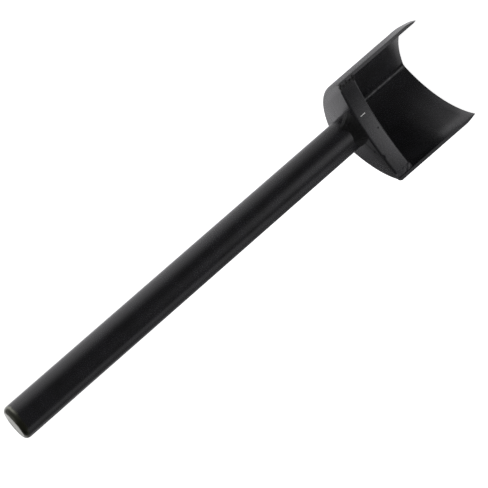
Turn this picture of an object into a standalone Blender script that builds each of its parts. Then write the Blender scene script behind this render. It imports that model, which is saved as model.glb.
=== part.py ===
"""Strap end punch: a round bar welded to a block, with a thin blade in a pointed arch welded round the block.

The punch stands on its cutting edge, with the handle up. X runs across the blade, the open side faces -Y and the
point of the arch faces +Y. The origin is the middle of the blade's outline, in the plane of the cutting edge.
"""

import math

import bmesh
import bpy
from mathutils import Vector

# Driving dimensions, in metres.
BAR_DIAMETER = 0.0127
BAR_LENGTH = 0.155
BAR_END_ROUND = 0.0015
BLADE_WIDTH = 0.042
BLADE_DEPTH = 0.030
BLADE_HEIGHT = 0.037
BLADE_WALL = 0.0012
ARM_RADIUS = 0.0342
BLOCK_THICKNESS = 0.0068
SCOOP_DEPTH = 0.0035
BAR_TO_OPEN_SIDE = 0.01375

# The cutting edge: ground from outside, with a small hone inside.
GRIND_HEIGHT = 0.0044
HONE_HEIGHT = 0.0012
HONE_DEPTH = 0.00025
EDGE_LAND = 0.00015

# The welds.
HANDLE_WELD_LEG = 0.0026
HANDLE_WELD_CROWN = 0.0003
SEAM_PREP = 0.0020
POINT_WELD_WIDTH = 0.0030
POINT_WELD_CROWN = 0.0003
POINT_WELD_LIFT = 0.0006

# Space left between two pieces that touch, so that each stays a body of its own.
JOINT_GAP = 0.0003

# How finely curves are cut into flats.
BAR_SIDES = 72
BAR_END_STEPS = 5
ARM_STEP = math.radians(2.0)
SCOOP_STEPS = 24
CROWN_STEPS = 4

PAINT_COLOUR = (0.020, 0.020, 0.022, 1.0)
WELD_COLOUR = (0.012, 0.012, 0.012, 1.0)

# Places that follow from the driving dimensions.
HALF_WIDTH = BLADE_WIDTH / 2
OPEN_Y = -BLADE_DEPTH / 2
POINT_Y = BLADE_DEPTH / 2
BAR_RADIUS = BAR_DIAMETER / 2
BAR_Y = OPEN_Y + BAR_TO_OPEN_SIDE
BLOCK_TOP = BLADE_HEIGHT
BLOCK_UNDERSIDE = BLADE_HEIGHT - BLOCK_THICKNESS
INNER_RADIUS = ARM_RADIUS - BLADE_WALL
FITTED_RADIUS = INNER_RADIUS - JOINT_GAP


def arm_centre():
    """Centre of the right arm's curve: its outside runs from the point to the arm's end at the open side."""
    point = Vector((0.0, POINT_Y))
    end = Vector((HALF_WIDTH, OPEN_Y))
    chord = end - point
    outward = Vector((-chord.y, chord.x)).normalized()
    reach = math.sqrt(ARM_RADIUS**2 - (chord.length / 2) ** 2)
    return (point + end) / 2 - outward * reach


ARM_CENTRE = arm_centre()


def side_at_y(radius, y):
    """Point at the height y on a curve that shares the right arm's centre."""
    rise = y - ARM_CENTRE.y
    return Vector((ARM_CENTRE.x + math.sqrt(radius**2 - rise**2), y))


def side_at_x(radius, x):
    """Point at the distance x from the middle plane, on a curve that shares the right arm's centre."""
    run = x - ARM_CENTRE.x
    return Vector((x, ARM_CENTRE.y + math.sqrt(radius**2 - run**2)))


def side_curve(start, end):
    """Points along the arm's inner curve from start to end, the end left out."""
    first = math.atan2(start.y - ARM_CENTRE.y, start.x - ARM_CENTRE.x)
    last = math.atan2(end.y - ARM_CENTRE.y, end.x - ARM_CENTRE.x)
    radius = (start - ARM_CENTRE).length
    steps = max(1, round(abs(last - first) / ARM_STEP))
    angles = [first + (last - first) * i / steps for i in range(steps)]
    return [ARM_CENTRE + radius * Vector((math.cos(a), math.sin(a))) for a in angles]


def scoop_at(x):
    """Point at x on the block's hollowed open side, which meets the open side's plane at the blade's full width."""
    radius = (HALF_WIDTH**2 + SCOOP_DEPTH**2) / (2 * SCOOP_DEPTH)
    centre_y = OPEN_Y + SCOOP_DEPTH - radius
    return Vector((x, centre_y + math.sqrt(radius**2 - x**2)))


def block_corner():
    """Where the block's side would meet its hollowed face, if the corner weren't cut away for the seam weld."""
    corner = side_at_y(FITTED_RADIUS, OPEN_Y)
    for _ in range(4):
        corner = side_at_y(FITTED_RADIUS, scoop_at(corner.x).y)
    return corner


def mirrored(points):
    """The same outline on the other side of the middle plane, running the other way."""
    return [Vector((-p.x, p.y)) for p in reversed(points)]


def make_collection(name):
    collection = bpy.data.collections.new(name)
    bpy.context.scene.collection.children.link(collection)
    return collection


def make_paint(name, colour, roughness):
    """Black enamel on steel: the paint is not a metal, so its metallic value is nought."""
    paint = bpy.data.materials.new(name)
    paint.use_nodes = True
    shader = paint.node_tree.nodes["Principled BSDF"]
    shader.inputs["Base Color"].default_value = colour
    shader.inputs["Roughness"].default_value = roughness
    shader.inputs["Metallic"].default_value = 0.0
    return paint


def finish(name, mesh, paint, place, collection, smooth_angle):
    """Wraps a mesh in a named, painted object at its place under the punch's root."""
    mesh.materials.append(paint)
    mesh.shade_smooth()
    mesh.set_sharp_from_angle(angle=math.radians(smooth_angle))
    piece = bpy.data.objects.new(name, mesh)
    piece.location = place
    piece.parent = root
    collection.objects.link(piece)
    return piece


def mesh_from(bm, name):
    bmesh.ops.recalc_face_normals(bm, faces=bm.faces)
    mesh = bpy.data.meshes.new(name)
    bm.to_mesh(mesh)
    bm.free()
    return mesh


def extruded_outline(name, outline, thickness):
    """A flat outline, filled and thickened upwards from z = 0."""
    curve = bpy.data.curves.new(name, "CURVE")
    curve.dimensions = "2D"
    curve.fill_mode = "BOTH"
    curve.extrude = thickness / 2
    spline = curve.splines.new("POLY")
    spline.points.add(len(outline) - 1)
    for target, point in zip(spline.points, outline):
        target.co = (point.x, point.y, 0.0, 1.0)
    spline.use_cyclic_u = True
    guide = bpy.data.objects.new(name + "_outline", curve)
    guide.location.z = thickness / 2
    bpy.context.scene.collection.objects.link(guide)
    graph = bpy.context.evaluated_depsgraph_get()
    mesh = bpy.data.meshes.new_from_object(guide.evaluated_get(graph))
    mesh.transform(guide.matrix_world)
    bm = bmesh.new()
    bm.from_mesh(mesh)
    bmesh.ops.remove_doubles(bm, verts=bm.verts, dist=1e-6)
    bpy.data.meshes.remove(mesh)
    bpy.data.objects.remove(guide)
    bpy.data.curves.remove(curve)
    return mesh_from(bm, name)


def make_handle_bar(paint, collection):
    """Round bar, standing on the block, its struck end rounded at the rim."""
    bm = bmesh.new()
    bmesh.ops.create_cone(
        bm,
        cap_ends=True,
        segments=BAR_SIDES,
        radius1=BAR_RADIUS,
        radius2=BAR_RADIUS,
        depth=BAR_LENGTH - JOINT_GAP,
    )
    top = max(v.co.z for v in bm.verts)
    rim = [e for e in bm.edges if all(v.co.z > top - 1e-6 for v in e.verts)]
    bmesh.ops.bevel(
        bm,
        geom=rim,
        offset=BAR_END_ROUND,
        segments=BAR_END_STEPS,
        affect="EDGES",
        profile=0.5,
    )
    mesh = mesh_from(bm, "handle_bar")
    middle = BLOCK_TOP + JOINT_GAP + (BAR_LENGTH - JOINT_GAP) / 2
    return finish("handle_bar", mesh, paint, (0.0, BAR_Y, middle), collection, 35)


def make_base_block(paint, collection):
    """Thick block that fills the upper end of the blade, hollowed on its open side, its front corners cut away."""
    corner = block_corner()
    tip = side_at_x(FITTED_RADIUS, 0.0)
    side_end = side_at_y(FITTED_RADIUS, corner.y + SEAM_PREP)
    scoop_end = corner.x - SEAM_PREP
    right = side_curve(side_end, tip)
    scoop = [scoop_at(-scoop_end + 2 * scoop_end * i / SCOOP_STEPS) for i in range(SCOOP_STEPS + 1)]
    outline = right + [tip] + mirrored(right) + scoop
    mesh = extruded_outline("base_block", outline, BLOCK_THICKNESS)
    return finish("base_block", mesh, paint, (0.0, 0.0, BLOCK_UNDERSIDE), collection, 30)


def make_blade_arm(side, paint, collection):
    """One half of the blade: its upright section swept round the arm's centre, cut off at the point and at the end."""
    section = [
        (INNER_RADIUS, HONE_HEIGHT),
        (INNER_RADIUS + HONE_DEPTH, 0.0),
        (INNER_RADIUS + HONE_DEPTH + EDGE_LAND, 0.0),
        (ARM_RADIUS, GRIND_HEIGHT),
        (ARM_RADIUS, BLADE_HEIGHT),
        (INNER_RADIUS, BLADE_HEIGHT),
    ]
    outer_end = Vector((HALF_WIDTH, OPEN_Y)) - ARM_CENTRE
    inner_point = side_at_x(INNER_RADIUS, 0.0) - ARM_CENTRE
    start = math.atan2(outer_end.y, outer_end.x) - 2 * ARM_STEP
    sweep = math.atan2(inner_point.y, inner_point.x) + 2 * ARM_STEP - start
    centre = Vector((ARM_CENTRE.x, ARM_CENTRE.y, 0.0))
    outward = Vector((math.cos(start), math.sin(start), 0.0))

    bm = bmesh.new()
    ring = [bm.verts.new(centre + outward * radius + Vector((0, 0, z))) for radius, z in section]
    bm.faces.new(ring)
    bmesh.ops.spin(
        bm,
        geom=bm.faces[:],
        cent=centre,
        axis=(0, 0, 1),
        angle=sweep,
        steps=round(sweep / ARM_STEP),
    )
    cuts = (
        (Vector((JOINT_GAP / 2, 0, 0)), Vector((-1, 0, 0))),
        (Vector((0, OPEN_Y, 0)), Vector((0, -1, 0))),
    )
    for place, normal in cuts:
        bmesh.ops.bisect_plane(
            bm,
            geom=bm.verts[:] + bm.edges[:] + bm.faces[:],
            plane_co=place,
            plane_no=normal,
            clear_outer=True,
        )
        bmesh.ops.holes_fill(bm, edges=[e for e in bm.edges if e.is_boundary], sides=0)
    if side == "left":
        bmesh.ops.scale(bm, vec=(-1, 1, 1), verts=bm.verts)
    name = "blade_arm_" + side
    return finish(name, mesh_from(bm, name), paint, (0, 0, 0), collection, 30)


def make_handle_weld(paint, collection):
    """Fillet weld all round the foot of the bar, with a slightly crowned face."""
    inner = BAR_RADIUS + JOINT_GAP
    floor = BLOCK_TOP + JOINT_GAP
    foot = Vector((inner + HANDLE_WELD_LEG, floor))
    head = Vector((inner, floor + HANDLE_WELD_LEG))
    outward = Vector((1, 1)).normalized()
    section = [Vector((inner, floor))]
    for i in range(CROWN_STEPS + 1):
        t = i / CROWN_STEPS
        section.append(foot.lerp(head, t) + outward * HANDLE_WELD_CROWN * 4 * t * (1 - t))

    bm = bmesh.new()
    ring = [bm.verts.new((p.x, 0, p.y)) for p in section]
    loop = [bm.edges.new((ring[i - 1], ring[i])) for i in range(len(ring))]
    bmesh.ops.spin(
        bm,
        geom=ring + loop,
        cent=(0, 0, 0),
        axis=(0, 0, 1),
        angle=2 * math.pi,
        steps=BAR_SIDES,
        use_merge=True,
    )
    mesh = mesh_from(bm, "handle_weld")
    return finish("handle_weld", mesh, paint, (0, BAR_Y, 0), collection, 50)


def make_point_weld(paint, collection):
    """Thin bead in the inside corner of the point, from the block down to just above the cutting edge."""
    tip = side_at_x(FITTED_RADIUS, 0.0)
    foot = side_at_x(FITTED_RADIUS, POINT_WELD_WIDTH / 2)
    right = side_curve(foot, tip)
    crown = []
    for i in range(1, CROWN_STEPS):
        t = i / CROWN_STEPS
        across = (2 * t - 1) * POINT_WELD_WIDTH / 2
        crown.append(Vector((across, foot.y - POINT_WELD_CROWN * 4 * t * (1 - t))))
    outline = right + [tip] + mirrored(right) + crown
    length = BLOCK_UNDERSIDE - JOINT_GAP - POINT_WELD_LIFT
    mesh = extruded_outline("point_weld", outline, length)
    return finish("point_weld", mesh, paint, (0, 0, POINT_WELD_LIFT), collection, 50)


def make_arm_weld(side, paint, collection):
    """Seam weld that fills the cut-away corner between the block and the end of one arm."""
    corner = block_corner()
    leg = SEAM_PREP - JOINT_GAP * math.sqrt(2)
    deep = side_at_y(FITTED_RADIUS, corner.y + leg)
    outline = [corner] + [deep] + [scoop_at(corner.x - leg), scoop_at(corner.x - leg / 2)]
    if side == "left":
        outline = mirrored(outline)
    name = "arm_weld_" + side
    mesh = extruded_outline(name, outline, BLOCK_THICKNESS)
    return finish(name, mesh, paint, (0, 0, BLOCK_UNDERSIDE), collection, 50)


for old in list(bpy.data.objects):
    bpy.data.objects.remove(old, do_unlink=True)

punch = make_collection("strap_end_punch")
root = bpy.data.objects.new("punch_root", None)
punch.objects.link(root)

enamel = make_paint("black_enamel", PAINT_COLOUR, 0.42)
weld_enamel = make_paint("black_enamel_on_weld", WELD_COLOUR, 0.6)

make_handle_bar(enamel, punch)
make_base_block(enamel, punch)
make_handle_weld(weld_enamel, punch)
make_point_weld(weld_enamel, punch)
for arm_side in ("left", "right"):
    make_blade_arm(arm_side, enamel, punch)
    make_arm_weld(arm_side, weld_enamel, punch)
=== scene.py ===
import math

import bmesh
import bpy
from mathutils import Matrix, Vector, noise


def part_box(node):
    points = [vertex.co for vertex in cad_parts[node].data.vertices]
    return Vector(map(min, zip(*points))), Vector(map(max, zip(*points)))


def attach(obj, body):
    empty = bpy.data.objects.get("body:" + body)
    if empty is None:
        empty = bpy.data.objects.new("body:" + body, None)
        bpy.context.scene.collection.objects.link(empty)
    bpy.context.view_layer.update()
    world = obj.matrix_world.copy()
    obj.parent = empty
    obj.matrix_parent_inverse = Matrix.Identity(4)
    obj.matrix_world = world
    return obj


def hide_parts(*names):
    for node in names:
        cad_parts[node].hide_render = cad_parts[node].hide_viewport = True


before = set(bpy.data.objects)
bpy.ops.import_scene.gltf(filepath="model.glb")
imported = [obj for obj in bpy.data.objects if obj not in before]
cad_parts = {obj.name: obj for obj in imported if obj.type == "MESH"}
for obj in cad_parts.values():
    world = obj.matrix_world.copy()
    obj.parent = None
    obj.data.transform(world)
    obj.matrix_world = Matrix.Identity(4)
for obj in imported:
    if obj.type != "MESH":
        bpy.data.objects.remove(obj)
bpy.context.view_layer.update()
mm = 0.001

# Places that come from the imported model, in metres.
barLow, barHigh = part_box("handle_bar")
blockLow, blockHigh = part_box("base_block")
armLow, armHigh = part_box("blade_arm_right")
barRadius = (barHigh.x - barLow.x) / 2
barY = (barHigh.y + barLow.y) / 2
barTop = barHigh.z
blockTop = blockHigh.z
blockUnderside = blockLow.z
halfWidth = armHigh.x
openY = armLow.y
pointY = -openY


# sRGB hex to a linear colour
def hexColour(code):
    parts = [int(code[i:i + 2], 16) / 255 for i in (0, 2, 4)]
    linear = [c / 12.92 if c <= 0.04045 else ((c + 0.055) / 1.055) ** 2.4 for c in parts]
    return (*linear, 1.0)


# adds one node: settings go to its sockets or its own options, links join its sockets
def addNode(tree, kind, settings=None, links=None):
    node = tree.nodes.new(kind)
    for key, value in (settings or {}).items():
        if isinstance(key, int) or key in node.inputs:
            node.inputs[key].default_value = value
        else:
            setattr(node, key, value)
    for key, source in (links or {}).items():
        tree.links.new(source, node.inputs[key])
    return node


def newMaterial(name):
    material = bpy.data.materials.new(name)
    material.use_nodes = True
    tree = material.node_tree
    tree.nodes.clear()
    shader = addNode(tree, "ShaderNodeBsdfPrincipled")
    addNode(tree, "ShaderNodeOutputMaterial", links={"Surface": shader.outputs["BSDF"]})
    coords = addNode(tree, "ShaderNodeTexCoord").outputs["Object"]
    return material, tree, shader, coords


# turns a bmesh into a piece of the punch that rides on the CAD body and stands for a CAD node
def finishPiece(name, bm, material, replaced, smoothAngle):
    bmesh.ops.remove_doubles(bm, verts=bm.verts, dist=0.0005 * mm)
    bmesh.ops.recalc_face_normals(bm, faces=bm.faces)
    mesh = bpy.data.meshes.new(name)
    bm.to_mesh(mesh)
    bm.free()
    mesh.materials.append(material)
    mesh.shade_smooth()
    mesh.set_sharp_from_angle(angle=math.radians(smoothAngle))
    piece = bpy.data.objects.new(name, mesh)
    bpy.context.scene.collection.objects.link(piece)
    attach(piece, "root")
    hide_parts(*replaced)
    print(name, "has", len(mesh.polygons), "faces")
    return piece


# Satin black enamel, brushed and dipped over ground steel: a near-black skin whose
# faint orange peel and dust break up the highlights without making it glossy.
enamel = {
    "dark": "171719",
    "light": "242428",
    "blotch": 6.0 * mm,  # size of the faint cloudy patches
    "peel": 0.9 * mm,  # orange peel, drawn a little coarse so that it shows
    "grit": 0.35 * mm,  # dust in the paint
    "peelHeight": 0.022 * mm,
    "roughLow": 0.20,
    "roughHigh": 0.30,
    "gritShare": 0.35,  # height of the dust next to the orange peel
    "pitSpacing": 5.0 * mm,
    "pitRadius": 0.24 * mm,
    "pitScarcity": 0.72,  # the share of cells that hold no pit
    "pitDeep": 4.0,  # in peel heights
    "pits": [],  # pits given one by one: place and radius in millimetres
    "setPitDeep": 8.0,
}


def enamelNodes(tree, coords, look):
    cloud = addNode(tree, "ShaderNodeTexNoise", {"Scale": 1 / look["blotch"], "Detail": 4.0},
                    {"Vector": coords})
    peel = addNode(tree, "ShaderNodeTexNoise", {"Scale": 1 / look["peel"], "Detail": 2.0},
                   {"Vector": coords})
    grit = addNode(tree, "ShaderNodeTexNoise", {"Scale": 1 / look["grit"], "Detail": 1.0},
                   {"Vector": coords})
    colour = addNode(tree, "ShaderNodeValToRGB", links={"Fac": cloud.outputs["Fac"]})
    colour.color_ramp.elements[0].position = 0.35
    colour.color_ramp.elements[0].color = hexColour(look["dark"])
    colour.color_ramp.elements[1].position = 0.65
    colour.color_ramp.elements[1].color = hexColour(look["light"])
    rough = addNode(tree, "ShaderNodeMapRange",
                    {"From Min": 0.3, "From Max": 0.7,
                     "To Min": look["roughLow"], "To Max": look["roughHigh"]},
                    {"Value": grit.outputs["Fac"]})
    height = addNode(tree, "ShaderNodeMath", {"operation": "MULTIPLY_ADD", 1: look["gritShare"]},
                     {0: grit.outputs["Fac"], 2: peel.outputs["Fac"]})
    # sparse pits: only a few cells of a wide cell pattern hold one
    cells = addNode(tree, "ShaderNodeTexVoronoi", {"Scale": 1 / look["pitSpacing"]}, {"Vector": coords})
    draw = addNode(tree, "ShaderNodeSeparateColor", links={"Color": cells.outputs["Color"]})
    chosen = addNode(tree, "ShaderNodeMath", {"operation": "GREATER_THAN", 1: look["pitScarcity"]},
                     {0: draw.outputs["Red"]})
    pitShare = look["pitRadius"] / look["pitSpacing"]
    near = addNode(tree, "ShaderNodeMapRange",
                   {"From Min": 0.4 * pitShare, "From Max": pitShare, "To Min": 1.0, "To Max": 0.0},
                   {"Value": cells.outputs["Distance"]})
    pit = addNode(tree, "ShaderNodeMath", {"operation": "MULTIPLY"},
                  {0: near.outputs["Result"], 1: chosen.outputs["Value"]})
    dented = addNode(tree, "ShaderNodeMath", {"operation": "MULTIPLY_ADD", 1: -look["pitDeep"]},
                     {0: pit.outputs["Value"], 2: height.outputs["Value"]})
    for x, y, z, radius in look["pits"]:
        gap = addNode(tree, "ShaderNodeVectorMath", {"operation": "DISTANCE", 1: Vector((x, y, z)) * mm},
                      {0: coords})
        hole = addNode(tree, "ShaderNodeMapRange",
                       {"From Min": 0.2 * radius * mm, "From Max": radius * mm, "To Min": 1.0, "To Max": 0.0},
                       {"Value": gap.outputs["Value"]})
        dented = addNode(tree, "ShaderNodeMath", {"operation": "MULTIPLY_ADD", 1: -look["setPitDeep"]},
                         {0: hole.outputs["Result"], 2: dented.outputs["Value"]})
    bump = addNode(tree, "ShaderNodeBump", {"Strength": 1.0, "Distance": look["peelHeight"]},
                   {"Height": dented.outputs["Value"]})
    return colour, rough, bump


def enamelMaterial(name, look):
    material, tree, shader, coords = newMaterial(name)
    shader.inputs["IOR"].default_value = 1.5
    colour, rough, bump = enamelNodes(tree, coords, look)
    tree.links.new(colour.outputs["Color"], shader.inputs["Base Color"])
    tree.links.new(rough.outputs["Result"], shader.inputs["Roughness"])
    tree.links.new(bump.outputs["Normal"], shader.inputs["Normal"])
    return material


# The bar: round stock, its struck end rounded over by the mallet and cut a little out of square.
bar = {
    "sides": 128,
    "rimAcross": 1.7 * mm,
    "rimDown": 1.9 * mm,
    "crown": 0.22 * mm,
    "outOfSquare": math.radians(1.6),
    "worked": 12.0 * mm,  # the stretch below the end that blows have moved
    "ding": 0.05 * mm,  # mallet dings
    "dingLength": 2.5 * mm,
    "roundSteps": 10,
    "rows": 40,
}

# The struck end: bright bare steel on the flat where the mallet lands, and a tarnished,
# olive-grey rim where the enamel has flaked back from it.
wornSteel = {
    "bright": "a3a49b",
    "tarnish": "47483c",
    "paleTowardsPlusX": "77786e",  # the rim's colour towards +X, paler than the tarnish
    "roughness": 0.30,
    "struck": 4.9 * mm,  # radius of the bright middle
    "lip": 2.9 * mm,  # but past this distance a dark lip is left along one side
    "lipSide": (-0.36, 0.93, 0),
    "patch": 1.6 * mm,  # size of the flakes
    "reach": 2.2 * mm,  # how far down the enamel is gone
    "slant": 0.10,  # more of it is gone towards one side
    "ragged": 1.3 * mm,
}


def wearBarEnd(material):
    tree = material.node_tree
    shader = next(n for n in tree.nodes if n.type == "BSDF_PRINCIPLED")
    coords = addNode(tree, "ShaderNodeTexCoord").outputs["Object"]
    place = addNode(tree, "ShaderNodeSeparateXYZ", links={"Vector": coords})
    patch = addNode(tree, "ShaderNodeTexNoise", {"Scale": 1 / wornSteel["patch"], "Detail": 3.0},
                    {"Vector": coords})
    slanted = addNode(tree, "ShaderNodeMath", {"operation": "MULTIPLY_ADD", 1: wornSteel["slant"]},
                      {0: place.outputs["X"], 2: place.outputs["Z"]})
    ragged = addNode(tree, "ShaderNodeMath", {"operation": "MULTIPLY_ADD", 1: wornSteel["ragged"]},
                     {0: patch.outputs["Fac"], 2: slanted.outputs["Value"]})
    limit = barTop - wornSteel["reach"] + 0.5 * wornSteel["ragged"]
    bare = addNode(tree, "ShaderNodeMapRange", {"From Min": limit - 0.4 * mm, "From Max": limit + 0.4 * mm},
                   {"Value": ragged.outputs["Value"]}).outputs["Result"]
    fromAxis = addNode(tree, "ShaderNodeVectorMath",
                       {"operation": "MULTIPLY_ADD", 1: (1, 1, 0), 2: (0, -barY, 0)}, {0: coords})
    across = addNode(tree, "ShaderNodeVectorMath", {"operation": "LENGTH"}, {0: fromAxis.outputs["Vector"]})
    uneven = addNode(tree, "ShaderNodeMath", {"operation": "MULTIPLY_ADD", 1: 0.8 * mm},
                     {0: patch.outputs["Fac"], 2: across.outputs["Value"]}).outputs["Value"]
    edge = wornSteel["struck"] + 0.4 * mm
    middle = addNode(tree, "ShaderNodeMapRange",
                     {"From Min": edge - 0.15 * mm, "From Max": edge + 0.15 * mm,
                      "To Min": 1.0, "To Max": 0.0}, {"Value": uneven})
    sideways = addNode(tree, "ShaderNodeVectorMath", {"operation": "DOT_PRODUCT", 1: wornSteel["lipSide"]},
                       {0: fromAxis.outputs["Vector"]}).outputs["Value"]
    lip = wornSteel["lip"]
    inside = addNode(tree, "ShaderNodeMapRange",
                     {"From Min": lip - 0.1 * mm, "From Max": lip + 0.2 * mm, "To Min": 1.0, "To Max": 0.0},
                     {"Value": sideways}).outputs["Result"]
    struck = addNode(tree, "ShaderNodeMath", {"operation": "MULTIPLY"},
                     {0: middle.outputs["Result"], 1: inside}).outputs["Value"]
    painted = shader.inputs["Base Color"].links[0].from_socket
    paintRough = shader.inputs["Roughness"].links[0].from_socket
    # the rim turns from the tarnish to a paler colour towards +X
    paleTowardsPlusX = addNode(tree, "ShaderNodeMapRange", {"From Min": 0.25 * barRadius, "From Max": 0.85 * barRadius},
                     {"Value": place.outputs["X"]}).outputs["Result"]
    rim = addNode(tree, "ShaderNodeMix", {"data_type": "RGBA", 6: hexColour(wornSteel["tarnish"]),
                                          7: hexColour(wornSteel["paleTowardsPlusX"])}, {0: paleTowardsPlusX})
    steel = addNode(tree, "ShaderNodeMix", {"data_type": "RGBA", 7: hexColour(wornSteel["bright"])},
                    {0: struck, 6: rim.outputs[2]})
    mix = addNode(tree, "ShaderNodeMix", {"data_type": "RGBA"}, {0: bare, 6: painted, 7: steel.outputs[2]})
    roughMix = addNode(tree, "ShaderNodeMix", {3: wornSteel["roughness"]}, {0: bare, 2: paintRough})
    tree.links.new(mix.outputs[2], shader.inputs["Base Color"])
    tree.links.new(bare, shader.inputs["Metallic"])
    tree.links.new(roughMix.outputs[0], shader.inputs["Roughness"])


# The block: a thick plate that fills the top of the blade, hollowed along its open side.
block = {
    "scoop": 3.5 * mm,
    "seamPrep": 1.6 * mm,
    "frontChamfer": 0.45 * mm,
    "lean": math.radians(2.0),  # the face leans under a little
    "scoopSteps": 180,
    "crown": 0.075 * mm,  # the ground face is a little fuller at its middle height
    "nickX": -10.7 * mm,  # a chip out of the front top edge
    "nickDepth": 1.0 * mm,
    "nickSteep": 0.5 * mm,  # its two slopes, one steep and one gentle
    "nickGentle": 1.3 * mm,
}

bladePits = [(20.4, -9.5, 29.0, 0.4), (19.6, -7.4, 31.5, 0.3)]
blockPits = [(8.3, 1.0, 37.0, 0.6), (9.6, 0.3, 37.0, 0.35),
             (-1.8, -11.45, 31.8, 0.35), (12.6, 5.2, 37.0, 0.4)]
weldPits = [(5.96, -3.43, 37.6, 0.45), (6.3, -2.4, 37.9, 0.3), (6.5, -1.4, 37.7, 0.3)]

bladeEnamel = enamelMaterial("satinEnamelOnBlade", {**enamel, "pits": bladePits})
blockEnamel = enamelMaterial("satinEnamelOnBlock", {**enamel, "peelHeight": 0.03 * mm, "pits": blockPits})
barEnamel = enamelMaterial("satinEnamelOnBar", {**enamel, "peelHeight": 0.014 * mm})

# One bright scratch down to the steel on the block's hollow face.
scratch = {"x": 5.55 * mm, "low": 32.9 * mm, "high": 35.0 * mm, "half": 0.11 * mm, "metal": "d2d2cf"}


def scratchBlock(material):
    tree = material.node_tree
    shader = next(n for n in tree.nodes if n.type == "BSDF_PRINCIPLED")
    coords = addNode(tree, "ShaderNodeTexCoord").outputs["Object"]
    place = addNode(tree, "ShaderNodeSeparateXYZ", links={"Vector": coords})
    aside = addNode(tree, "ShaderNodeMath", {"operation": "COMPARE", 1: scratch["x"], 2: scratch["half"]},
                    {0: place.outputs["X"]})
    middle = (scratch["low"] + scratch["high"]) / 2
    along = addNode(tree, "ShaderNodeMath", {"operation": "COMPARE", 1: middle, 2: scratch["high"] - middle},
                    {0: place.outputs["Z"]})
    front = addNode(tree, "ShaderNodeMath", {"operation": "LESS_THAN", 1: openY + block["scoop"] + mm},
                    {0: place.outputs["Y"]})
    line = addNode(tree, "ShaderNodeMath", {"operation": "MULTIPLY"},
                   {0: aside.outputs["Value"], 1: along.outputs["Value"]})
    cut = addNode(tree, "ShaderNodeMath", {"operation": "MULTIPLY"},
                  {0: line.outputs["Value"], 1: front.outputs["Value"]}).outputs["Value"]
    painted = shader.inputs["Base Color"].links[0].from_socket
    mix = addNode(tree, "ShaderNodeMix", {"data_type": "RGBA", 7: hexColour(scratch["metal"])},
                  {0: cut, 6: painted})
    tree.links.new(mix.outputs[2], shader.inputs["Base Color"])
    tree.links.new(cut, shader.inputs["Metallic"])


wearBarEnd(barEnamel)
scratchBlock(blockEnamel)

# The same enamel over weld: thick and dull on the big bead, a little glossier on the lumpy corner seam. Both
# are given darker colours than the enamel elsewhere, as painted shade of the crevices they fill.
weldEnamelWithPaintedShade = enamelMaterial("dullEnamelOverWeldWithPaintedShade", {
    **enamel, "dark": "0a0a0a", "light": "151515", "peelHeight": 0.03 * mm,
    "roughLow": 0.66, "roughHigh": 0.90, "pits": weldPits,
})
# the darker colour on the corner seam is painted shade of the corner between block and arm
seamEnamelWithPaintedShade = enamelMaterial("enamelOverLumpySeamWithPaintedShade", {
    **enamel, "dark": "0c0c0c", "light": "191919", "peelHeight": 0.03 * mm,
    "roughLow": 0.30, "roughHigh": 0.50,
})
print("materials made")


# The blade: each arm is an arc of thin wall, ground to an edge from outside.
bladeArm = {
    "radius": 34.2 * mm,
    "wall": 1.2 * mm,
    "grind": 4.4 * mm,
    "grindCurve": 1.3,
    "hone": 1.2 * mm,
    "honeDepth": 0.25 * mm,
    "land": 0.12 * mm,
    "topRound": 0.75 * mm,
    "step": math.radians(1.2),
    "rows": 22,
    "wave": 0.035 * mm,
    "waveLength": 9.0 * mm,
    "splay": 0.28 * mm,  # the left arm's tip has sprung outwards
    "splayReach": 14.0 * mm,
    "splayHeight": 33.0 * mm,
    "endSkew": 0.07,  # and its end is ground slightly askew
}


def findArmCentre():
    point = Vector((0, pointY))
    end = Vector((halfWidth, openY))
    chord = end - point
    outward = Vector((-chord.y, chord.x)).normalized()
    reach = math.sqrt(bladeArm["radius"] ** 2 - (chord.length / 2) ** 2)
    return (point + end) / 2 - outward * reach


armCentre = findArmCentre()
innerRadius = bladeArm["radius"] - bladeArm["wall"]


def angleAtY(radius, y):
    return math.asin((y - armCentre.y) / radius)


def angleAtX(radius, x):
    return math.acos((x - armCentre.x) / radius)


def onArc(radius, angle, z=0.0):
    return Vector((armCentre.x + radius * math.cos(angle), armCentre.y + radius * math.sin(angle), z))


def cutAndCap(bm, place, normal):
    bmesh.ops.bisect_plane(bm, geom=bm.verts[:] + bm.edges[:] + bm.faces[:], plane_co=place,
                           plane_no=normal, clear_outer=True)
    bmesh.ops.holes_fill(bm, edges=[e for e in bm.edges if e.is_boundary], sides=0)


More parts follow.
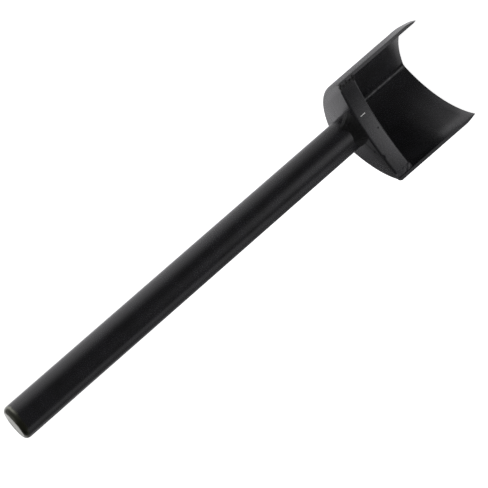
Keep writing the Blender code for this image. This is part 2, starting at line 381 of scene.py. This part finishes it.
def makeBladeArm(side, nodeName):
    arm = bladeArm
    outer = arm["radius"]
    edgeRadius = innerRadius + arm["honeDepth"] + arm["land"]
    section = [(innerRadius, arm["hone"]), (innerRadius + arm["honeDepth"], 0.0), (edgeRadius, 0.0)]
    for i in range(1, 7):
        t = i / 6
        grown = 1 - (1 - t) ** arm["grindCurve"]
        section.append((edgeRadius + (outer - edgeRadius) * grown, arm["grind"] * t))
    for i in range(5):
        turn = math.pi / 2 * i / 4
        section.append((outer - arm["topRound"] * (1 - math.cos(turn)),
                        blockTop - arm["topRound"] * (1 - math.sin(turn))))
    section.append((innerRadius, blockTop))

    start = angleAtY(outer, openY) - 3 * arm["step"]
    sweep = angleAtX(innerRadius, 0.0) + 3 * arm["step"] - start
    bm = bmesh.new()
    ring = [bm.verts.new(onArc(radius, start, z)) for radius, z in section]
    bm.faces.new(ring)
    bmesh.ops.spin(bm, geom=bm.faces[:], cent=(*armCentre, 0), axis=(0, 0, 1), angle=sweep,
                   steps=round(sweep / arm["step"]))
    cutAndCap(bm, Vector((0.01 * mm, 0, 0)), Vector((-1, 0, 0)))
    cutAndCap(bm, Vector((halfWidth, openY, 0)), Vector((arm["endSkew"] if side < 0 else 0.0, -1, 0)))
    tall = [e for e in bm.edges if abs(e.verts[0].co.z - e.verts[1].co.z) > 20 * mm]
    bmesh.ops.subdivide_edges(bm, edges=tall, cuts=arm["rows"], use_grid_fill=True)
    bm.normal_update()
    # the outline of the flat end, but not the edges inside it
    rim = [e for e in bm.edges if all(v.co.y < openY + 0.15 * mm for v in e.verts)
           and len({f.normal.y < -0.99 for f in e.link_faces}) == 2]
    bmesh.ops.bevel(bm, geom=rim, offset=0.09 * mm, segments=2, affect="EDGES", profile=0.5, material=-1)

    # hand-made waviness, fading out where the wall is welded to the block
    for v in bm.verts:
        free = min(1.0, max(0.0, (blockUnderside - v.co.z) / (4 * mm)))
        radial = Vector((v.co.x - armCentre.x, v.co.y - armCentre.y, 0)).normalized()
        amount = noise.noise(v.co / arm["waveLength"] + Vector((side * 7.3, 0, 0)))
        v.co += radial * amount * arm["wave"] * free
        if side < 0:
            sprung = max(0.0, 1 - (v.co.y - openY) / arm["splayReach"]) ** 2
            sprung *= max(0.0, 1 - v.co.z / arm["splayHeight"])
            v.co.x += arm["splay"] * sprung
            v.co.y -= 0.5 * arm["splay"] * sprung
    if side < 0:
        bmesh.ops.scale(bm, vec=(-1, 1, 1), verts=bm.verts)
    sideName = "Left" if side < 0 else "Right"
    return finishPiece("bladeArm" + sideName, bm, bladeEnamel, [nodeName], 30)


makeBladeArm(1, "blade_arm_right")
makeBladeArm(-1, "blade_arm_left")


def scoopPoint(x, z=0.0):
    radius = (halfWidth ** 2 + block["scoop"] ** 2) / (2 * block["scoop"])
    return Vector((x, openY + block["scoop"] - radius + math.sqrt(radius ** 2 - x ** 2), z))


def makeBaseBlock():
    fitted = innerRadius + 0.02 * mm  # a hair into the blade's wall
    first = angleAtY(fitted, openY + block["seamPrep"])
    last = angleAtX(fitted, 0.0)
    steps = round((last - first) / bladeArm["step"])
    side = [onArc(fitted, first + (last - first) * i / steps, blockUnderside) for i in range(steps + 1)]
    cornerX = onArc(fitted, angleAtY(fitted, openY)).x - block["seamPrep"]
    bm = bmesh.new()
    outline = side + [Vector((-p.x, p.y, p.z)) for p in reversed(side[:-1])]
    for i in range(block["scoopSteps"] + 1):
        outline.append(scoopPoint(-cornerX + 2 * cornerX * i / block["scoopSteps"], blockUnderside))
    base = bm.faces.new([bm.verts.new(p) for p in outline])
    grown = bmesh.ops.extrude_face_region(bm, geom=[base])["geom"]
    bmesh.ops.translate(bm, verts=[g for g in grown if isinstance(g, bmesh.types.BMVert)],
                        vec=(0, 0, blockTop - blockUnderside))
    bmesh.ops.recalc_face_normals(bm, faces=bm.faces)
    frontY = openY + block["scoop"] + 0.1 * mm
    inFront = {v for v in bm.verts if v.co.y < frontY and abs(v.co.x) < cornerX + 0.01 * mm}
    front = [e for e in bm.edges if inFront.issuperset(e.verts) and e.verts[0].co.z == e.verts[1].co.z]
    bmesh.ops.bevel(bm, geom=front, offset=block["frontChamfer"], segments=3, affect="EDGES", profile=0.5,
                    material=-1)
    middle = (blockTop + blockUnderside) / 2
    half = (blockTop - blockUnderside) / 2
    tall = [e for e in bm.edges if abs(e.verts[0].co.z - e.verts[1].co.z) > 5 * mm
            and e.verts[0].co.y < openY + 4 * mm]
    bmesh.ops.subdivide_edges(bm, edges=tall, cuts=9, use_grid_fill=True)
    for v in bm.verts:
        faceY = scoopPoint(v.co.x).y + block["frontChamfer"] + 0.05 * mm
        if v.co.y < faceY and abs(v.co.x) < cornerX + 0.01 * mm:
            v.co.y += block["crown"] * ((v.co.z - middle) / half) ** 2
            v.co.y += math.tan(block["lean"]) * (blockTop - v.co.z)
            aside = v.co.x - block["nickX"]
            nick = max(0.0, 1 - (aside / block["nickSteep"] if aside > 0 else -aside / block["nickGentle"]))
            up = (v.co.z - blockUnderside) / (blockTop - blockUnderside)
            v.co.z -= block["nickDepth"] * nick * up ** 2
    return finishPiece("baseBlock", bm, blockEnamel, ["base_block"], 30)


makeBaseBlock()


def makeHandleBar():
    r = barRadius
    top = barTop - bar["crown"]
    foot = blockTop + 0.02 * mm  # just clear of the block
    flat = r - bar["rimAcross"]
    profile = [(0.0, foot), (r, foot)]
    for i in range(1, bar["rows"] + 1):
        profile.append((r, foot + (top - bar["rimDown"] - foot) * i / bar["rows"]))
    for i in range(1, bar["roundSteps"] + 1):
        turn = math.pi / 2 * i / bar["roundSteps"]
        profile.append((r - bar["rimAcross"] * (1 - math.cos(turn)),
                        top - bar["rimDown"] * (1 - math.sin(turn))))
    for share in (0.75, 0.5, 0.25, 0.0):
        profile.append((flat * share, top + bar["crown"] * (1 - share ** 2)))
    bm = bmesh.new()
    line = [bm.verts.new((radius, 0, z)) for radius, z in profile]
    edges = [bm.edges.new(pair) for pair in zip(line, line[1:])]
    bmesh.ops.spin(bm, geom=line + edges, cent=(0, 0, 0), axis=(0, 0, 1), angle=2 * math.pi,
                   steps=bar["sides"], use_merge=True)
    bmesh.ops.remove_doubles(bm, verts=bm.verts, dist=0.001 * mm)
    for v in bm.verts:
        near = min(1.0, max(0.0, (v.co.z - top + bar["worked"]) / bar["worked"]))
        v.co.z -= v.co.x * math.tan(bar["outOfSquare"]) * near ** 2
        v.co.z += bar["ding"] * noise.noise(v.co / bar["dingLength"]) * near ** 2
    bmesh.ops.translate(bm, verts=bm.verts, vec=(0, barY, 0))
    return finishPiece("handleBar", bm, barEnamel, ["handle_bar"], 40)


makeHandleBar()


# Welds: lumpy beads, each a closed body that sinks a little into the steel around it.
# The bar is held by a heavy bead on the open side and a light one behind, so the bead is
# given as reaches: angle round the bar, reach over the block, reach up the bar.
handleWeld = {
    "reaches": [(-180, 0.4, 1.0), (-159, 0.15, 0.8), (-145, 0.4, 1.5), (-128, 1.2, 2.8), (-115, 2.5, 3.6),
                (-104, 3.9, 3.7), (-92, 4.6, 3.2), (-83, 4.6, 3.0), (-74, 4.4, 2.9), (-65, 5.0, 3.0),
                (-51, 6.1, 4.0), (-44, 5.7, 4.5), (-38, 4.8, 4.3), (-31, 3.4, 2.9), (-22, 1.8, 1.3),
                (-15, 1.0, 0.6), (-8, 0.4, 0.4), (2, 0.15, 0.3), (20, 0.1, 0.3), (45, 0.5, 1.0),
                (65, 1.7, 1.8), (90, 2.0, 2.0), (115, 1.9, 1.9), (140, 0.9, 1.2), (160, 0.4, 0.8),
                (180, 0.4, 1.0)],
    "sides": 240,
    "faceSteps": 18,
    "sag": 0.10,  # how hollow the bead is, as a share of its width
    "overEdge": 0.7 * mm,
    "lump": 0.20 * mm,
    "lumpLength": 1.3 * mm,
    "ripple": 0.08 * mm,
    "ripplePitch": 1.25 * mm,
}


def straightReach(degrees):
    degrees = (degrees + 180) % 360 - 180
    table = handleWeld["reaches"]
    for (a, blockA, barA), (b, blockB, barB) in zip(table, table[1:]):
        if a <= degrees <= b:
            t = (degrees - a) / (b - a)
            return Vector((blockA + (blockB - blockA) * t, barA + (barB - barA) * t)) * mm


# the table's corners are softened by taking the mean over a few degrees
def reachAt(degrees):
    spread = (-3.0, -1.5, 0.0, 1.5, 3.0)
    return sum((straightReach(degrees + s) for s in spread), Vector((0, 0))) / len(spread)


# one point of the bead: share 0 is its toe on the block, share 1 its toe on the bar
def weldPoint(angle, share):
    along, up = reachAt(math.degrees(angle))
    toe = barRadius + along
    edge = 1.0
    # drawn in until it lies on the block
    while edge > 0 and barY + (toe * edge) * math.sin(angle) < scoopPoint(toe * edge * math.cos(angle)).y:
        edge -= 0.004
    over = toe * (1 - edge)
    shoulder = Vector((toe * edge - (0.12 * mm if over else 0.0), blockTop - 0.06 * mm + min(over, 0.2 * mm)))
    head = Vector((barRadius - 0.05 * mm, blockTop + up))
    if over and share < 0.2:
        drop = min(1.0, over / (0.9 * mm))
        low = Vector((toe * edge + 0.1 * mm, blockTop - handleWeld["overEdge"] * drop - 0.05 * mm))
        place = low.lerp(shoulder, share / 0.2)
    else:
        t = (share - 0.2) / 0.8 if over else share
        place = shoulder.lerp(head, t)
        place -= Vector((1, 1)).normalized() * handleWeld["sag"] * (head - shoulder).length * 4 * t * (1 - t)
    spot = Vector((math.cos(angle) * place.x, math.sin(angle) * place.x, place.y))
    away = Vector((math.cos(angle), math.sin(angle), 1)).normalized()
    weight = math.sin(math.pi * min(1.0, max(0.0, share))) * min(1.0, (along + up) / (3 * mm))
    lump = noise.noise(spot / handleWeld["lumpLength"])
    lump += 0.5 * noise.noise(spot / (0.45 * handleWeld["lumpLength"]))
    wave = math.sin(2 * math.pi * (angle * barRadius * 1.35 + 0.8 * mm * share) / handleWeld["ripplePitch"])
    return spot + away * weight * (lump * handleWeld["lump"] + wave * handleWeld["ripple"])


# beads of spatter stuck beside the weld: place and radius
spatter = [
    (Vector((5.95, -2.85, 38.7)) * mm, 0.34 * mm),
    (Vector((4.9, -7.6, 39.3)) * mm, 0.30 * mm),
    (Vector((-8.6, -9.2, 37.0)) * mm, 0.22 * mm),
]


def makeHandleWeld():
    steps = handleWeld["faceSteps"]
    bm = bmesh.new()
    # a flat disc of rings first, then every ring is carried to its place on the bead
    line = [bm.verts.new(((10 + i) * mm, 0, 0)) for i in range(steps + 1)]
    edges = [bm.edges.new(pair) for pair in zip(line, line[1:])]
    bmesh.ops.spin(bm, geom=line + edges, cent=(0, 0, 0), axis=(0, 0, 1), angle=2 * math.pi,
                   steps=handleWeld["sides"], use_merge=True)
    for v in bm.verts:
        ring = round(v.co.length / mm) - 10
        v.co = weldPoint(math.atan2(v.co.y, v.co.x), ring / steps)
    # close it inside the bar and the block
    rims = bmesh.ops.extrude_edge_only(bm, edges=[e for e in bm.edges if e.is_boundary])["geom"]
    for v in [g for g in rims if isinstance(g, bmesh.types.BMVert)]:
        flat = Vector((v.co.x, v.co.y, 0)).normalized() * (barRadius - 0.6 * mm)
        v.co = Vector((flat.x, flat.y, v.co.z - (0.25 * mm if v.co.z < blockTop + 0.1 * mm else 0)))
    bmesh.ops.bridge_loops(bm, edges=[e for e in bm.edges if e.is_boundary])
    bmesh.ops.translate(bm, verts=bm.verts, vec=(0, barY, 0))
    for place, radius in spatter:
        bmesh.ops.create_icosphere(bm, subdivisions=3, radius=radius, matrix=Matrix.Translation(place))
    return finishPiece("handleWeldBead", bm, weldEnamelWithPaintedShade, ["handle_weld"], 60)


makeHandleWeld()


# The thin bead down the inside corner, where the two arms meet at the point.
pointWeld = {"width": 2.4 * mm, "crown": 0.45 * mm, "steps": 10, "rows": 60, "lift": 0.35 * mm}


def makePointWeld():
    half = pointWeld["width"] / 2
    tip = onArc(innerRadius + 0.1 * mm, angleAtX(innerRadius + 0.1 * mm, 0.0))
    foot = onArc(innerRadius + 0.1 * mm, angleAtX(innerRadius + 0.1 * mm, half))
    outline = [Vector((foot.x, foot.y)), Vector((0, tip.y)), Vector((-foot.x, foot.y))]
    for i in range(1, pointWeld["steps"]):
        t = i / pointWeld["steps"]
        outline.append(Vector(((2 * t - 1) * half, foot.y - pointWeld["crown"] * math.sin(math.pi * t))))
    bm = bmesh.new()
    base = bm.faces.new([bm.verts.new((p.x, p.y, pointWeld["lift"])) for p in outline])
    grown = bmesh.ops.extrude_face_region(bm, geom=[base])["geom"]
    bmesh.ops.translate(bm, verts=[g for g in grown if isinstance(g, bmesh.types.BMVert)],
                        vec=(0, 0, blockUnderside - pointWeld["lift"] - 0.01 * mm))
    tall = [e for e in bm.edges if abs(e.verts[0].co.z - e.verts[1].co.z) > 20 * mm]
    bmesh.ops.subdivide_edges(bm, edges=tall, cuts=pointWeld["rows"], use_grid_fill=True)
    for v in bm.verts:
        if v.co.y < foot.y - 0.05 * mm:
            v.co.y += 0.06 * mm * noise.noise(v.co / (1.6 * mm))
            v.co.x += 0.05 * mm * noise.noise(v.co / (4 * mm))
    return finishPiece("pointWeldBead", bm, bladeEnamel, ["point_weld"], 50)


makePointWeld()


# The short seams between the block's front corners and the ends of the arms.
armWeld = {
    "from": 20.75 * mm,
    "to": 17.9 * mm,
    "columns": 26,
    "rows": 56,
    "depth": 1.9 * mm,
    "proud": 0.03 * mm,
    "lumpLength": 1.1 * mm,
}

# lumps of the right seam, each in a dark moat: share across, share up, height, radius
seamLumps = [
    (0.34, 0.90, 0.42 * mm, 0.62 * mm),
    (0.62, 0.66, 0.20 * mm, 0.55 * mm),
    (0.22, 0.52, 0.30 * mm, 0.50 * mm),
    (0.55, 0.28, 0.34 * mm, 0.60 * mm),
    (0.25, 0.10, 0.30 * mm, 0.50 * mm),
]


# the corner seam between block and arm: a lumpy skin pushed back into the corner
def makeArmWeld(side, nodeName, material, lump):
    weld = armWeld
    bm = bmesh.new()
    bmesh.ops.create_grid(bm, x_segments=weld["columns"], y_segments=weld["rows"], size=0.5)
    inner = scoopPoint(weld["to"])
    low = blockUnderside + 0.05 * mm
    for v in bm.verts:
        u = v.co.x + 0.5
        h = v.co.y + 0.5
        spot = Vector((weld["from"] + (weld["to"] - weld["from"]) * u, 0,
                       low + (blockTop - 0.01 * mm - low) * h))
        base = openY + (inner.y - openY) * max(0.0, (u - 0.3) / 0.7)
        if side < 0:
            base = scoopPoint(spot.x).y + math.tan(block["lean"]) * (blockTop - spot.z)
        bumps = noise.noise(spot / weld["lumpLength"] + Vector((side * 3.1, 0, 0)))
        bumps += 0.6 * noise.noise(spot / (0.4 * weld["lumpLength"]) + Vector((0, side * 5.2, 0)))
        fade = min(1.0, 6 * (1 - u)) * min(1.0, 5 * u)
        spot.y = base - weld["proud"] - lump * bumps * fade + (0.12 * mm if u > 0.97 else 0)
        for across, up, height, radius in seamLumps if side > 0 else []:
            aside = (across - u) * (weld["from"] - weld["to"])
            q = (aside ** 2 + ((up - h) * (blockTop - low)) ** 2) / radius ** 2
            spot.y -= height * (1 - 2 * q) * math.exp(-0.9 * q) * min(1.0, 8 * (1 - u))
        v.co = spot
    grown = bmesh.ops.extrude_face_region(bm, geom=bm.faces[:])["geom"]
    for v in [g for g in grown if isinstance(g, bmesh.types.BMVert)]:
        v.co.y = openY + weld["depth"]
    if side < 0:
        bmesh.ops.scale(bm, vec=(-1, 1, 1), verts=bm.verts)
    sideName = "Left" if side < 0 else "Right"
    return finishPiece("armWeldBead" + sideName, bm, material, [nodeName], 60)


makeArmWeld(1, "arm_weld_right", seamEnamelWithPaintedShade, 0.34 * mm)
makeArmWeld(-1, "arm_weld_left", blockEnamel, 0.08 * mm)
print("punch built")


# The studio: a white sweep that only the camera sees, one soft box overhead, a round light tent
# and a glowing card close behind the punch.
camera = {
    "aim": Vector((-4.63, -3.17, 92.78)) * mm,
    "azimuth": 21.194,
    "elevation": 15.545,
    "roll": 131.27,
    "distance": 667.3 * mm,
    "lens": 144.85,
}


def makeCamera():
    a = math.radians(camera["azimuth"])
    e = math.radians(camera["elevation"])
    back = Vector((math.sin(a) * math.cos(e), -math.cos(a) * math.cos(e), math.sin(e)))
    data = bpy.data.cameras.new("camera")
    data.lens = camera["lens"]
    data.sensor_width = 36
    data.clip_start = 0.01
    data.clip_end = 50
    cam = bpy.data.objects.new("camera", data)
    bpy.context.scene.collection.objects.link(cam)
    turn = (-back).to_track_quat("-Z", "Y").to_matrix().to_4x4()
    roll = Matrix.Rotation(-math.radians(camera["roll"]), 4, "Z")
    cam.matrix_world = Matrix.Translation(camera["aim"] + back * camera["distance"]) @ turn @ roll
    bpy.context.scene.camera = cam


def makeSoftbox(name, place, aim, size, radiance, colour="ffffff"):
    data = bpy.data.lights.new(name, "AREA")
    data.shape = "RECTANGLE"
    data.size = size[0]
    data.size_y = size[1]
    data.energy = radiance * math.pi * size[0] * size[1]
    data.color = hexColour(colour)[:3]
    light = bpy.data.objects.new(name, data)
    light.location = place
    light.rotation_euler = (Vector(aim) - Vector(place)).to_track_quat("-Z", "Y").to_euler()
    light.visible_camera = False
    bpy.context.scene.collection.objects.link(light)
    return light


def makeSweep():
    bm = bmesh.new()
    profile = [(0.0, 0.0), (3.0, 0.0)]
    for i in range(1, 13):
        turn = math.pi / 2 * i / 12
        profile.append((3.0 + 2.0 * math.sin(turn), 2.0 - 2.0 * math.cos(turn)))
    profile.append((5.0, 6.0))
    line = [bm.verts.new((radius, 0, z)) for radius, z in profile]
    edges = [bm.edges.new(pair) for pair in zip(line, line[1:])]
    bmesh.ops.spin(bm, geom=line + edges, cent=(0, 0, 0), axis=(0, 0, 1), angle=2 * math.pi,
                   steps=64, use_merge=True)
    bmesh.ops.remove_doubles(bm, verts=bm.verts, dist=mm)
    mesh = bpy.data.meshes.new("studioSweep")
    bm.to_mesh(mesh)
    bm.free()
    mesh.shade_smooth()
    paper = bpy.data.materials.new("whiteSweepPaper")
    paper.use_nodes = True
    shader = paper.node_tree.nodes["Principled BSDF"]
    shader.inputs["Base Color"].default_value = (0.8, 0.8, 0.8, 1)
    shader.inputs["Roughness"].default_value = 0.9
    shader.inputs["Emission Color"].default_value = (1, 1, 1, 1)
    shader.inputs["Emission Strength"].default_value = 1.0
    mesh.materials.append(paper)
    sweep = bpy.data.objects.new("studioSweep", mesh)
    bpy.context.scene.collection.objects.link(sweep)
    sweep.visible_diffuse = False
    sweep.visible_glossy = False
    sweep.visible_shadow = False


# makes a sheet that only gives light: its glow comes from the strength socket given back by a function
def glowSheet(name, bm, strengthNodes):
    mesh = bpy.data.meshes.new(name)
    bm.to_mesh(mesh)
    bm.free()
    glow = bpy.data.materials.new(name + "Glow")
    glow.use_nodes = True
    tree = glow.node_tree
    tree.nodes.clear()
    coords = addNode(tree, "ShaderNodeTexCoord").outputs["Object"]
    strength = strengthNodes(tree, coords)
    light = addNode(tree, "ShaderNodeEmission", {"Color": hexColour("fdfcff")}, {"Strength": strength})
    addNode(tree, "ShaderNodeOutputMaterial", links={"Surface": light.outputs["Emission"]})
    mesh.materials.append(glow)
    sheet = bpy.data.objects.new(name, mesh)
    bpy.context.scene.collection.objects.link(sheet)
    sheet.visible_camera = False
    sheet.visible_shadow = False


# Adds up soft patches of light over a sheet. A patch is a product of smooth steps, each given as
# the value that it follows, where it starts and ends, and its strength at both ends. A value
# comes with the unit that its places are in.
def patchStrength(tree, values, patches, base=0.0):
    total = None
    for steps in patches:
        product = None
        for followed, low, high, start, end in steps:
            socket, unit = values[followed]
            step = addNode(tree, "ShaderNodeMapRange",
                           {"interpolation_type": "SMOOTHSTEP", "To Min": start, "To Max": end,
                            "From Min": low * unit, "From Max": high * unit}, {"Value": socket})
            before = {1: product.outputs["Value"]} if product else {}
            product = addNode(tree, "ShaderNodeMath", {"operation": "MULTIPLY", 1: 1.0},
                              {0: step.outputs["Result"], **before})
        before = {1: total.outputs["Value"]} if total else {}
        total = addNode(tree, "ShaderNodeMath", {"operation": "ADD", 1: base},
                        {0: product.outputs["Value"], **before})
    return total.outputs["Value"]


# The card stands where a table would be if the punch lay on its left arm. It is dimmest
# close under the punch, where the punch would shade it. Places are in millimetres: height
# is up the punch, aside is across the card, and leaning is aside but further over higher up.
card = {
    "normal": Vector((0.633, -0.774, 0)).normalized(),
    "distance": 17 * mm,
    "half": 0.6,
    "lean": 0.12,
    "patches": [
        [("leaning", -2, 22, 0.20, 1.05)],
        [("leaning", -45, -10, 0.36, 0)],
        [("leaning", 80, 200, 0, 0.35), ("height", -60, -20, 0, 1)],
        # past the cutting edge it is bright again close in
        [("height", -11, -2, 0.8, 0), ("leaning", -40, -12, 0, 1), ("leaning", 4, 12, 1, 0)],
        # the head's own soft shadow: a band at the height of the blade, deepest close in
        [("leaning", -2, 22, 0.20, 1.05), ("dipped", -26, -6, 0, -1), ("height", 16, 40, 1, 0),
         ("leaning", 22, 42, 1, 0.47), ("leaning", 60, 140, 1, 0)],
    ],
    "dip": [[("leaning", 24, 32, 7 * mm, 0)]],  # the band starts lower close in
    # nearly black right behind the bar, as far up as its struck end
    "shadow": [[("aside", -12, -9, 0, -1), ("aside", 7, 10, 1, 0),
                ("height", 160, 180, 0, 1), ("height", 193.6, 196, 0.92, 0)]],
    "top": [[("height", 198, 206, 1, 0.20)]],  # dim above the struck end
}


def cardGlow(tree, coords):
    along = Vector((-card["normal"].y, card["normal"].x, 0))
    aside = addNode(tree, "ShaderNodeVectorMath", {"operation": "DOT_PRODUCT", 1: along}, {0: coords})
    leaning = addNode(tree, "ShaderNodeVectorMath",
                      {"operation": "DOT_PRODUCT", 1: along + Vector((0, 0, card["lean"]))}, {0: coords})
    height = addNode(tree, "ShaderNodeSeparateXYZ", links={"Vector": coords}).outputs["Z"]
    values = {
        "aside": (aside.outputs["Value"], mm),
        "leaning": (leaning.outputs["Value"], mm),
        "height": (height, mm),
    }
    dip = patchStrength(tree, values, card["dip"])
    dipped = addNode(tree, "ShaderNodeMath", {"operation": "ADD"}, {0: height, 1: dip})
    values["dipped"] = (dipped.outputs["Value"], mm)
    lit = patchStrength(tree, values, card["patches"])
    unshaded = patchStrength(tree, values, card["shadow"], 1.0)
    top = patchStrength(tree, values, card["top"])
    for factor in (unshaded, top):
        lit = addNode(tree, "ShaderNodeMath", {"operation": "MULTIPLY"}, {0: lit, 1: factor}).outputs["Value"]
    return lit


def makeCard():
    along = Vector((-card["normal"].y, card["normal"].x, 0))
    bm = bmesh.new()
    bmesh.ops.create_grid(bm, x_segments=1, y_segments=1, size=card["half"])
    turn = Matrix((along, Vector((0, 0, 1)), along.cross(Vector((0, 0, 1))))).transposed().to_4x4()
    behind = Matrix.Translation(-card["normal"] * card["distance"])
    bmesh.ops.transform(bm, matrix=behind @ turn, verts=bm.verts)
    glowSheet("glowCard", bm, cardGlow)


# A round light tent about the punch: a wide soft light on one side and a lower, narrower one
# in front. Azimuths are in degrees counter-clockwise from +X, heights in metres.
tent = {
    "radius": 0.74,
    "low": -0.75,
    "high": 0.45,
    "base": 0.13,
    "patches": [
        # the wide light, fading below
        [("azimuth", -45, 20, 0, 1), ("azimuth", 60, 85, 1, 0), ("height", 0.10, 0.35, 1, 0),
         ("height", -0.27, -0.205, 0, 1), ("height", -0.16, -0.04, 1, 1.2)],
        # a bright strip again at its foot
        [("azimuth", -45, 20, 0, 1), ("azimuth", 60, 85, 1, 0), ("height", -0.355, -0.30, 0.55, 0)],
        # the front light, in two heights
        [("azimuth", -140, -105, 0, 1.25), ("azimuth", -101, -62, 1, 0), ("height", -0.345, -0.235, 1, 0)],
        [("azimuth", -140, -105, 0, 1.25), ("azimuth", -101, -62, 1, 0), ("height", -0.20, -0.05, 0.62, 0)],
    ],
}


def tentGlow(tree, coords):
    place = addNode(tree, "ShaderNodeSeparateXYZ", links={"Vector": coords})
    azimuth = addNode(tree, "ShaderNodeMath", {"operation": "ARCTAN2"},
                      {0: place.outputs["Y"], 1: place.outputs["X"]})
    values = {
        "azimuth": (azimuth.outputs["Value"], math.radians(1)),
        "height": (place.outputs["Z"], 1),
    }
    return patchStrength(tree, values, tent["patches"], tent["base"])


def makeTent():
    bm = bmesh.new()
    line = [bm.verts.new((tent["radius"], 0, tent["low"])), bm.verts.new((tent["radius"], 0, tent["high"]))]
    edges = [bm.edges.new(line)]
    bmesh.ops.spin(bm, geom=line + edges, cent=(0, 0, 0), axis=(0, 0, 1), angle=2 * math.pi,
                   steps=96, use_merge=True)
    glowSheet("lightTent", bm, tentGlow)


makeCamera()
makeSweep()
makeCard()
makeTent()
makeSoftbox("topSoftbox", (0.1, 0.4, 1.1), (0, 0, 0.1), (0.6, 0.6), 0.8)

world = bpy.data.worlds.new("studioAir")
bpy.context.scene.world = world
world.use_nodes = True
world.node_tree.nodes["Background"].inputs["Color"].default_value = (1, 1, 1, 1)
world.node_tree.nodes["Background"].inputs["Strength"].default_value = 0.13
bpy.context.scene.view_settings.view_transform = "Standard"
print("studio lit")
